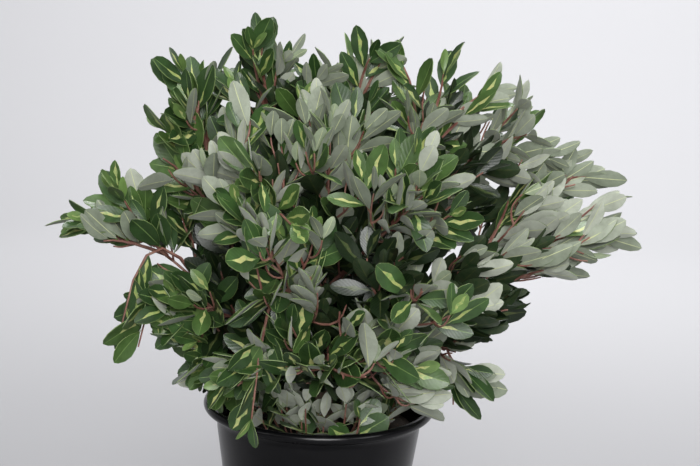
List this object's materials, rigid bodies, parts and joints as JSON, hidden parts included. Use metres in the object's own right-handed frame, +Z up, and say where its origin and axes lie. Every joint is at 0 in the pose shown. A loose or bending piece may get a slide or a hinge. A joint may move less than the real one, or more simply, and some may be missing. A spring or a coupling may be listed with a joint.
{
  "type": "potted pittosporum shrub",
  "caption": "Bushy pittosporum shrub with silver-backed, yellow-splashed evergreen leaves on arching twigs, standing in a round black plastic pot.",
  "frame": {"origin": "centre of the pot's flat underside, on the surface that it stands on", "axes": "+Z up along the pot's axis, +X to the right and -Y to the front as the plant is seen in the picture"},
  "size_m": [0.6679, 0.571, 0.6857],
  "materials": {
    "black_plastic": "smooth moulded black plastic with a dull gloss",
    "potting_mix": "moist dark bark-based potting mix, matte and crumbly",
    "bark": "rough brown bark",
    "young_bark": "reddish brown young bark, satin",
    "foliage": "grey-green leaves with yellow-green splashes, satin above and matte below"
  },
  "bodies": {
    "root": {"pot": "black_plastic", "potting_mix": "potting_mix", "trunk": "bark", "stem_top": "bark", "stem_right": "bark", "stem_front": "bark", "stem_front_top": "bark", "stem_left": "bark", "stem_back": "bark", "bough_top_left": "young_bark", "bough_top_right": "young_bark", "bough_upper_right": "young_bark", "bough_right_high": "young_bark", "bough_right_sweep_high": "young_bark", "bough_right_sweep_low": "young_bark", "bough_right_low": "young_bark", "bough_right_sprig": "young_bark", "bough_front_low": "young_bark", "bough_front_rim": "young_bark", "bough_front_middle": "young_bark", "bough_front_hanging": "young_bark", "bough_front_left": "young_bark", "bough_front_right": "young_bark", "bough_front_crown": "young_bark", "bough_front_high": "young_bark", "bough_left_arm": "young_bark", "bough_left_high": "young_bark", "bough_left_drooping": "young_bark", "bough_left_rim": "young_bark", "bough_back_left": "young_bark", "bough_back_high": "young_bark", "bough_back_right": "young_bark", "bough_back_middle": "young_bark", "bough_back_low": "young_bark", "foliage_top_left": "foliage", "foliage_top_right": "foliage", "foliage_upper_right": "foliage", "foliage_right_high": "foliage", "foliage_right_sweep_high": "foliage", "foliage_right_sweep_low": "foliage", "foliage_right_low": "foliage", "foliage_right_sprig": "foliage", "foliage_front_low": "foliage", "foliage_front_rim": "foliage", "foliage_front_middle": "foliage", "foliage_front_hanging": "foliage", "foliage_front_left": "foliage", "foliage_front_right": "foliage", "foliage_front_crown": "foliage", "foliage_front_high": "foliage", "foliage_left_arm": "foliage", "foliage_left_high": "foliage", "foliage_left_drooping": "foliage", "foliage_left_rim": "foliage", "foliage_back_left": "foliage", "foliage_back_high": "foliage", "foliage_back_right": "foliage", "foliage_back_middle": "foliage", "foliage_back_low": "foliage"}
  },
  "joints": []
}
